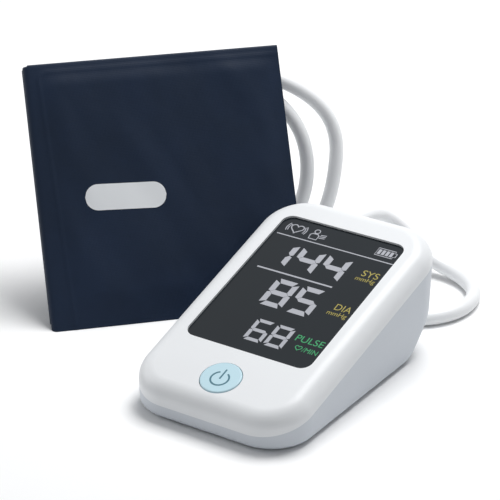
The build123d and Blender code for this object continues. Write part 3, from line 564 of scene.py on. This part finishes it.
pulse_mark = stroke(heart(24.2, 12.5, size=3.7), width=0.45, closed=True)
printed("pulse_mark", pulse_mark, green_units, -LENS_DEPTH, -LENS_DEPTH + INK, "display_glass")

# %% [markdown]
# ## The battery's charge bars
# The bars are one shape repeated along a short line. Geometry Nodes make them:
# a mesh line gives the places, one plate is instanced on each, and the instances
# are made real so that the export keeps them.

# %% Charge bars
CHARGE_BARS = 4
CHARGE_PITCH = 2.35
CHARGE_BAR = (1.7, 3.8, 2 * INK)
FIRST_CHARGE_BAR = (25.0, 92.6)


def tree_input(tree, name, kind, value):
    """A named input of a Geometry Nodes tree."""
    socket = tree.interface.new_socket(name, in_out="INPUT", socket_type=kind)
    socket.default_value = value


def grown(source, tree, name, values):
    """The plain mesh that a tree makes on an object, with values by input name."""
    modifier = source.modifiers.new("grow", "NODES")
    modifier.node_group = tree
    for item in tree.interface.items_tree:
        if item.item_type == "SOCKET" and item.in_out == "INPUT" and item.name in values:
            modifier[item.identifier] = values[item.name]
    piece = baked(source, name)
    source.modifiers.remove(modifier)
    return piece


def row_tree(material):
    """A tree that sets plates in a row along +X from the origin."""
    tree = bpy.data.node_groups.new("row_of_plates", "GeometryNodeTree")
    tree.interface.new_socket("Geometry", in_out="INPUT", socket_type="NodeSocketGeometry")
    tree_input(tree, "Count", "NodeSocketInt", 4)
    tree_input(tree, "Pitch", "NodeSocketFloat", 0.002)
    tree_input(tree, "Plate", "NodeSocketVector", (0.001, 0.004, 0.0001))
    tree.interface.new_socket("Geometry", in_out="OUTPUT", socket_type="NodeSocketGeometry")
    make = tree.nodes.new
    link = tree.links.new
    given = make("NodeGroupInput")
    line = make("GeometryNodeMeshLine")
    step = make("ShaderNodeCombineXYZ")
    plate = make("GeometryNodeMeshCube")
    place = make("GeometryNodeInstanceOnPoints")
    real = make("GeometryNodeRealizeInstances")
    colour = make("GeometryNodeSetMaterial")
    result = make("NodeGroupOutput")
    colour.inputs["Material"].default_value = material
    link(given.outputs["Count"], line.inputs["Count"])
    link(given.outputs["Pitch"], step.inputs["X"])
    link(step.outputs["Vector"], line.inputs["Offset"])
    link(given.outputs["Plate"], plate.inputs["Size"])
    link(line.outputs["Mesh"], place.inputs["Points"])
    link(plate.outputs["Mesh"], place.inputs["Instance"])
    link(place.outputs["Instances"], real.inputs["Geometry"])
    link(real.outputs["Geometry"], colour.inputs["Geometry"])
    link(colour.outputs["Geometry"], result.inputs["Geometry"])
    return tree


seed = mesh_piece("seed", [(0, 0, 0)], [])
charge_sizes = {"Count": CHARGE_BARS, "Pitch": CHARGE_PITCH * MM, "Plate": [c * MM for c in CHARGE_BAR]}
charge_bars = grown(seed, row_tree(pale_segments), "charge_bars", charge_sizes)
first_bar = face_point(FIRST_CHARGE_BAR[0] + SHOWN_U, FIRST_CHARGE_BAR[1] + SHOWN_W, -LENS_DEPTH) * MM
charge_bars.data.transform(Matrix.Translation(first_bar) @ Matrix.Rotation(FACE_SLOPE, 4, "X"))
drop(seed)
settle(charge_bars, "monitor", "display_glass")

# %% [markdown]
# ## Words for the units
# The units are plain words in Blender's own font. Each is made a mesh, scaled to
# the place it fills and laid on the lens.

# %% Unit words
CAPITALS_SHARE = 0.70


def word(name, text, left, right, base, height, material):
    """A word on the lens between two sides, its capitals of a given height."""
    data = bpy.data.curves.new(name, "FONT")
    data.body = text
    source = bpy.data.objects.new(name + "_source", data)
    bpy.context.collection.objects.link(source)
    piece = baked(source, name)
    drop(source)
    mesh = piece.data
    low = [min(v.co[i] for v in mesh.vertices) for i in (0, 1)]
    high = [max(v.co[i] for v in mesh.vertices) for i in (0, 1)]
    scale_u = (right - left) / (high[0] - low[0])
    scale_w = height / CAPITALS_SHARE
    for v in mesh.vertices:
        u = left + (v.co.x - low[0]) * scale_u
        w = base + v.co.y * scale_w
        v.co = face_point(u + SHOWN_U, w + SHOWN_W, -LENS_DEPTH + INK) * MM
    mesh.materials.clear()
    mesh.materials.append(material)
    settle(piece, "monitor", "display_glass")


word("sys_word", "SYS", left=25.2, right=34.8, base=72.4, height=4.6, material=yellow_units)
word("sys_unit", "mmHg", left=23.8, right=35.0, base=68.7, height=3.0, material=yellow_units)
word("dia_word", "DIA", left=25.7, right=35.0, base=44.4, height=4.6, material=yellow_units)
word("dia_unit", "mmHg", left=23.8, right=35.0, base=40.3, height=3.0, material=yellow_units)
word("pulse_word", "PULSE", left=19.3, right=35.3, base=17.0, height=4.4, material=green_units)
word("pulse_unit", "/MIN", left=26.7, right=35.3, base=10.9, height=3.4, material=green_units)

# %% [markdown]
# ## The sign on the power key
# The key is a pale blue disc with the usual sign for on and off: a ring that is
# open at the top and a short bar in the opening. It rides on the key.

# %% Power sign
KEY_W = -21.0
KEY_TOP = 0.5
SIGN_RADIUS = 4.7
SIGN_LINE = 0.95
SIGN_SUNK = 0.1
ring = arc(0, KEY_W - 1.0, SIGN_RADIUS, start=118, end=422, count=30)
upright = rectangle(-0.45, 0.45, KEY_W - 1.2, KEY_W + 5.8)
printed(
    "power_sign",
    stroke(ring, SIGN_LINE) + [upright],
    key_symbol,
    KEY_TOP - SIGN_SUNK,
    KEY_TOP + INK,
    "button_white",
    body="power_button",
    shift=(0, 0),
)

# %% [markdown]
# ## The folded cuff
# The cuff is one long ribbon of coated cloth, folded in four with its hook and
# loop pads inside. It could be pressed flat by a cloth simulation, but the folds
# are as tight as the cloth is thick, so the ribbon is laid by a path instead: four
# straight runs joined by three half turns. Each place on the path carries one
# closed section of the cloth with a round upper edge. Slow noise puffs the front,
# where the air bladder and the pads lie behind it, and a welded seam stands up
# inside the front's left and top edges.

# %% Cloth path
CLOTH = 2.2
CUFF_WIDTH = 140.8
CUFF_HEIGHT = 144.8
LAYER_GAPS = (1.1, 1.1, 0.5)
FRONT_STEP = 0.8
HIDDEN_STEP = 3.5
layer_fronts = [0.0]
for gap in LAYER_GAPS:
    layer_fronts.append(layer_fronts[-1] + CLOTH + gap)
fold_left = CLOTH + LAYER_GAPS[0] / 2
fold_right = CUFF_WIDTH - fold_left


def cuff_point(along, up, back):
    """A point of the cuff: along its width, up its height and back from its front."""
    return CUFF_CORNER + cuff_right * along + cuff_up * up + cuff_back * back


def run(start, end, level, step):
    """Places along one flat layer, each with the outward direction of its outer side."""
    count = max(2, round(abs(end - start) / step))
    way = math.copysign(1.0, end - start)
    return [(start + (end - start) * i / count, level, 0.0, way) for i in range(count + 1)]


def half_turn(along, level, radius, side, count=9):
    """Places round a fold from one layer to the next."""
    places = []
    for i in range(1, count + 1):
        turn = math.pi * i / (count + 1)
        out = side * math.sin(turn)
        places.append((along + radius * out, level - radius * math.cos(turn), out, -math.cos(turn)))
    return places


half = CLOTH / 2
levels = [front + half for front in layer_fronts]
ribbon = run(CUFF_WIDTH, fold_left, levels[0], FRONT_STEP)
ribbon += half_turn(fold_left, (levels[0] + levels[1]) / 2, (levels[1] - levels[0]) / 2, -1)
ribbon += run(fold_left, fold_right, levels[1], HIDDEN_STEP)
right_fold = half_turn(fold_right, (levels[1] + levels[2]) / 2, (levels[2] - levels[1]) / 2, 1)
ribbon += [(a, q, -n, -m) for a, q, n, m in right_fold]
ribbon += run(fold_right, fold_left, levels[2], HIDDEN_STEP)
ribbon += half_turn(fold_left, (levels[2] + levels[3]) / 2, (levels[3] - levels[2]) / 2, -1)
ribbon += run(fold_left, CUFF_WIDTH, levels[3], HIDDEN_STEP)
front_count = round((CUFF_WIDTH - fold_left) / FRONT_STEP) + 1

# %% Front relief
SEAM_TOP = 139.8
SEAM_LEFT = 7.5
SEAM_SPREAD = 5.5
SEAM_CORNER = 5.0
SEAM_RISE = 0.35
SEAM_WIDTH = 0.9
VALLEY_DEPTH = 0.25
VALLEY_WIDTH = 4.0
PUFF = 2.0
# The puff is full this far in from each edge, and starts a little below the foot.
PUFF_LEFT = 22
PUFF_RIGHT = 16
PUFF_TOP = 14
PUFF_FOOT = 20
FOOT_START = -4
BROAD_WAVES = 1.5
CREASES = 0.8
FINE_CREASES = 0.2


def ease(value, start, end):
    """0 before start, 1 after end and a smooth step between."""
    t = min(1.0, max(0.0, (value - start) / (end - start)))
    return t * t * (3 - 2 * t)


def seam_distance(along, up):
    """How far a place is from the welded seam, which turns a round corner at the top left."""
    left = SEAM_LEFT + SEAM_SPREAD * (1 - up / SEAM_TOP)
    x = left + SEAM_CORNER - along
    y = up - (SEAM_TOP - SEAM_CORNER)
    if x > 0 and y > 0:
        return abs(math.hypot(x, y) - SEAM_CORNER)
    from_side = abs(x - SEAM_CORNER)
    from_top = abs(y - SEAM_CORNER)
    if y > 0:
        return from_top
    if x > 0:
        return from_side
    return min(from_side, from_top)


def front_rise(along, up):
    """How far the cuff's front stands out from flat, in millimetres."""
    inside = ease(along, 0, PUFF_LEFT) * ease(CUFF_WIDTH - along, 0, PUFF_RIGHT)
    inside *= ease(up, FOOT_START, PUFF_FOOT) * ease(CUFF_HEIGHT - up, 0, PUFF_TOP)
    # The divisors are the lengths of the waves in millimetres. The last value picks a slice of the noise.
    broad = noise_at(Vector((along / 46, up / 62, 1.7)))
    slanted = noise_at(Vector(((along + 0.5 * up) / 17, (up - 0.3 * along) / 55, 6.1)))
    fine = noise_at(Vector((along / 9, up / 26, 11.3)))
    wrinkles = BROAD_WAVES * broad + CREASES * slanted + FINE_CREASES * fine
    from_seam = seam_distance(along, up)
    seam = SEAM_RISE * math.exp(-((from_seam / SEAM_WIDTH) ** 2))
    valley = VALLEY_DEPTH * math.exp(-((from_seam / VALLEY_WIDTH) ** 2))
    return max(0.0, inside * (PUFF + wrinkles - valley)) + seam


# %% Cloth section
ROWS = 118
EDGE_STEPS = 5
section = [(half, row / ROWS, 0.0) for row in range(ROWS + 1)]
for step in range(1, EDGE_STEPS + 1):
    turn = math.pi * step / (EDGE_STEPS + 1)
    section.append((half * math.cos(turn), 1.0, half * math.sin(turn)))
section += [(-half, row / ROWS, 0.0) for row in range(ROWS, -1, -1)]
ring_size = len(section)
print("points round one section", ring_size)

# %% Ribbon points
HIDDEN_DROP = 0.5
DROP_WAVE = 23
lean_fall = math.tan(cuff_lean)
cuff_points = []
for place, (along, level, out_a, out_q) in enumerate(ribbon):
    in_front = place < front_count
    top = CUFF_HEIGHT - half
    if not in_front:
        top -= HIDDEN_DROP * (1 + noise_at(Vector((place / DROP_WAVE, 3.3, 0))))
    for out, share, over in section:
        a = along + out_a * out
        q = level + out_q * out
        low = max(0.0, q * lean_fall)
        up = low + (top - low) * share + over
        if in_front and out > 0:
            q -= front_rise(a, up) * (out / half)
            up = max(up, q * lean_fall, 0.0)
        cuff_points.append(cuff_point(a, up, q))
print("cuff points", len(cuff_points))

# %% Ribbon faces
cuff_faces = []
last_ring = (len(ribbon) - 1) * ring_size
for here in range(0, last_ring, ring_size):
    there = here + ring_size
    for j in range(ring_size):
        k = (j + 1) % ring_size
        cuff_faces.append([here + j, here + k, there + k, there + j])
end_strips = [[row, row + 1, ring_size - 2 - row, ring_size - 1 - row] for row in range(ROWS)]
end_strips.append(list(range(ROWS, ROWS + EDGE_STEPS + 2)))
for start, way in ((0, 1), (last_ring, -1)):
    cuff_faces += [[start + v for v in strip[::way]] for strip in end_strips]
cuff = mesh_piece("folded_cuff", cuff_points, cuff_faces)
finish_shell(cuff)

# %% [markdown]
# ## Coated cloth
# The cloth is a dark navy nylon with a thin coating. The coating gives a wide,
# weak gloss; the weave under it is a fine crossed bump; handling leaves slow
# changes of tone and small creases that the mesh is too coarse to carry.

# %% Cloth finish
CREASE_WEIGHT = 7.0
CREASE_SCALE = 95.0
SHADE_SCALE = 22.0
THREAD_WOBBLE = 0.6
CLOTH_GLOSS = 0.15


def woven(name, dark, light, roughness, thread, bump):
    """Coated woven cloth: crossed threads, slow tone and fine creases."""
    material, tree, shader = new_finish(name, roughness, specular=CLOTH_GLOSS)
    slow = noise(tree, SHADE_SCALE, detail=5.0, roughness=0.6)
    tint(tree, shader, slow.outputs["Fac"], dark, light)
    place = tree.nodes.new("ShaderNodeTexCoord")
    turn = tree.nodes.new("ShaderNodeMapping")
    turn.inputs["Rotation"].default_value = (0.0, 0.0, -cuff_yaw)
    tree.links.new(place.outputs["Object"], turn.inputs["Vector"])
    heights = []
    for direction in ("X", "Z"):
        threads = tree.nodes.new("ShaderNodeTexWave")
        threads.wave_type = "BANDS"
        threads.bands_direction = direction
        threads.inputs["Scale"].default_value = thread
        threads.inputs["Distortion"].default_value = THREAD_WOBBLE
        tree.links.new(turn.outputs["Vector"], threads.inputs["Vector"])
        heights.append(threads)
    crossed = tree.nodes.new("ShaderNodeMath")
    crossed.operation = "MULTIPLY"
    tree.links.new(heights[0].outputs["Fac"], crossed.inputs[0])
    tree.links.new(heights[1].outputs["Fac"], crossed.inputs[1])
    creases = noise(tree, CREASE_SCALE, detail=4.0, roughness=0.55)
    joined = tree.nodes.new("ShaderNodeMath")
    joined.operation = "MULTIPLY_ADD"
    joined.inputs[1].default_value = CREASE_WEIGHT
    tree.links.new(creases.outputs["Fac"], joined.inputs[0])
    tree.links.new(crossed.outputs["Value"], joined.inputs[2])
    relief(tree, shader, joined.outputs["Value"], bump)
    return material


NAVY = ((0.0060, 0.0135, 0.030), (0.0085, 0.0180, 0.041))
LOOP_BLACK = ((0.008, 0.009, 0.012), (0.014, 0.015, 0.019))
HOOK_BLACK = ((0.006, 0.006, 0.008), (0.012, 0.012, 0.015))
navy_cloth = woven("navy_cloth", *NAVY, roughness=0.52, thread=420.0, bump=0.00003)
loop_cloth = woven("loop_cloth", *LOOP_BLACK, roughness=0.9, thread=300.0, bump=0.0002)
hook_cloth = woven("hook_cloth", *HOOK_BLACK, roughness=0.7, thread=240.0, bump=0.0003)
cuff.data.materials.append(navy_cloth)
settle(cuff, "cuff_and_hose", "navy_cloth", "cuff_cover")

# %% [markdown]
# ## Pads and print
# Two thin pads lie in the gaps between the layers: stiff hooks on one side, soft
# loops on the other. They are thin plates with round corners. The pale oval on
# the front is a flat print that follows the cloth; it is left without a word.

# %% Pads
PAD_FOOT = 10.0
PAD_TOP = 134.8
PAD_CORNER = 5.0
PAD_THICKNESS = 0.7
PAD_CLEARANCE = 0.1


def pad(name, left, right, layer, material, node):
    """A thin pad with round corners behind one of the cuff's layers."""
    front = layer_fronts[layer] + CLOTH + PAD_CLEARANCE
    outline = []
    corners = (
        (right - PAD_CORNER, PAD_TOP - PAD_CORNER),
        (left + PAD_CORNER, PAD_TOP - PAD_CORNER),
        (left + PAD_CORNER, PAD_FOOT + PAD_CORNER),
        (right - PAD_CORNER, PAD_FOOT + PAD_CORNER),
    )
    for quarter, (a, b) in enumerate(corners):
        outline += arc(a, b, PAD_CORNER, 90 * quarter, 90 * quarter + 90, 7)
    count = len(outline)
    points = [cuff_point(a, b, q) for q in (front, front + PAD_THICKNESS) for a, b in outline]
    faces = [list(range(count)), [2 * count - 1 - i for i in range(count)]]
    faces += [[i, count + i, count + (i + 1) % count, (i + 1) % count] for i in range(count)]
    piece = mesh_piece(name, points, faces, material)
    settle(piece, "cuff_and_hose", "black_fabric", node)


pad("soft_hook_pad", left=38.2, right=137.9, layer=0, material=hook_cloth, node="hook_patch")
pad("soft_loop_pad", left=4.0, right=120.2, layer=1, material=loop_cloth, node="loop_pad")

# %% Oval print
PRINT_CENTRE = (47.4, 68.9)
PRINT_LENGTH = 44.0
PRINT_HEIGHT = 14.2
PRINT_TILT = math.radians(-2.6)
PRINT_COLUMNS = 74
PRINT_ROWS = 20
PRINT_PROUD = 0.12
PRINT_SUNK = 0.08
PRINT_TIP = 0.25


def print_point(x, y, height):
    """A point of the print from its own centre, on or in the cloth's front."""
    a = PRINT_CENTRE[0] + x * math.cos(PRINT_TILT) - y * math.sin(PRINT_TILT)
    b = PRINT_CENTRE[1] + x * math.sin(PRINT_TILT) + y * math.cos(PRINT_TILT)
    return cuff_point(a, b, -front_rise(a, b) - height)


print_points = []
for height in (PRINT_PROUD, -PRINT_SUNK):
    for i in range(PRINT_COLUMNS + 1):
        x = (i / PRINT_COLUMNS - 0.5) * PRINT_LENGTH
        beyond = max(0.0, abs(x) - (PRINT_LENGTH - PRINT_HEIGHT) / 2)
        reach = max(PRINT_TIP, math.sqrt(max(0.0, (PRINT_HEIGHT / 2) ** 2 - beyond**2)))
        for j in range(PRINT_ROWS + 1):
            print_points.append(print_point(x, (2 * j / PRINT_ROWS - 1) * reach, height))
print("print points", len(print_points))

# %% Oval print's faces
column = PRINT_ROWS + 1
under = (PRINT_COLUMNS + 1) * column
print_faces = []
for i in range(PRINT_COLUMNS):
    for v in range(i * column, i * column + PRINT_ROWS):
        print_faces.append([v, v + column, v + column + 1, v + 1])
        print_faces.append([under + v, under + v + 1, under + v + column + 1, under + v + column])
rim = [i * column for i in range(PRINT_COLUMNS)]
rim += [PRINT_COLUMNS * column + j for j in range(PRINT_ROWS)]
rim += [i * column + PRINT_ROWS for i in range(PRINT_COLUMNS, 0, -1)]
rim += list(range(PRINT_ROWS, 0, -1))
for here, there in zip(rim, rim[1:] + rim[:1]):
    print_faces.append([here, under + here, under + there, there])
oval_white = moulded("oval_white", (0.82, 0.84, 0.86), roughness=0.6, grain=0.00002)
oval = mesh_piece("oval_print", print_points, print_faces, oval_white)
finish_shell(oval)
settle(oval, "cuff_and_hose", "white_plastic")

# %% [markdown]
# ## The table and the light
# The photograph is a studio shot on white: a broad light from above and behind,
# a weaker one from the left and a pale ground that keeps a soft shadow. The world
# is white where the camera, a reflection or a clear piece looks at it, and a dim
# pale blue where it only lights the object.

# %% World
world = bpy.data.worlds.new("studio")
bpy.context.scene.world = world
world.use_nodes = True
world_tree = world.node_tree
seen = world_tree.nodes["Background"]
seen.inputs["Color"].default_value = (1.0, 1.0, 1.0, 1.0)
seen.inputs["Strength"].default_value = 1.0
fill = world_tree.nodes.new("ShaderNodeBackground")
fill.inputs["Color"].default_value = (0.93, 0.96, 1.0, 1.0)
fill.inputs["Strength"].default_value = 0.26
path = world_tree.nodes.new("ShaderNodeLightPath")
choose = world_tree.nodes.new("ShaderNodeMixShader")
sees_white = path.outputs["Is Camera Ray"]
for ray in ("Is Glossy Ray", "Is Transmission Ray"):
    either = world_tree.nodes.new("ShaderNodeMath")
    either.operation = "MAXIMUM"
    world_tree.links.new(sees_white, either.inputs[0])
    world_tree.links.new(path.outputs[ray], either.inputs[1])
    sees_white = either.outputs["Value"]
world_tree.links.new(sees_white, choose.inputs["Fac"])
world_tree.links.new(fill.outputs["Background"], choose.inputs[1])
world_tree.links.new(seen.outputs["Background"], choose.inputs[2])
world_tree.links.new(choose.outputs["Shader"], world_tree.nodes["World Output"].inputs["Surface"])
bpy.context.scene.view_settings.view_transform = "Standard"

# %% Lamps
LAMP_SIZE = 0.7
LIT_POINT = Vector((-0.05, 0.03, 0.04))


def lamp(name, place, watts):
    """A square area lamp that looks at the middle of the object, its place in metres."""
    data = bpy.data.lights.new(name, "AREA")
    data.size = LAMP_SIZE
    data.energy = watts
    light = bpy.data.objects.new(name, data)
    light.location = place
    light.rotation_euler = (LIT_POINT - Vector(place)).to_track_quat("-Z", "Y").to_euler()
    bpy.context.collection.objects.link(light)


lamp("overhead", (0.02, 0.50, 1.15), watts=15.5)
lamp("left_side", (-1.25, -0.35, 0.55), watts=3.5)

# %% Floor
FLOOR_REACH = 4000
PAPER_SCALE = 3.0
floor_corners = [(x * FLOOR_REACH, y * FLOOR_REACH, 0) for x, y in rectangle(-1, 1, -1, 1)]
floor = mesh_piece("floor", floor_corners, [(0, 1, 2, 3)])
floor_finish, floor_tree, floor_shader = new_finish("floor_paper", 0.9, specular=0.1)
paper = noise(floor_tree, PAPER_SCALE)
tint(floor_tree, floor_shader, paper.outputs["Fac"], (0.955, 0.955, 0.955), (0.965, 0.965, 0.965))
floor.data.materials.append(floor_finish)
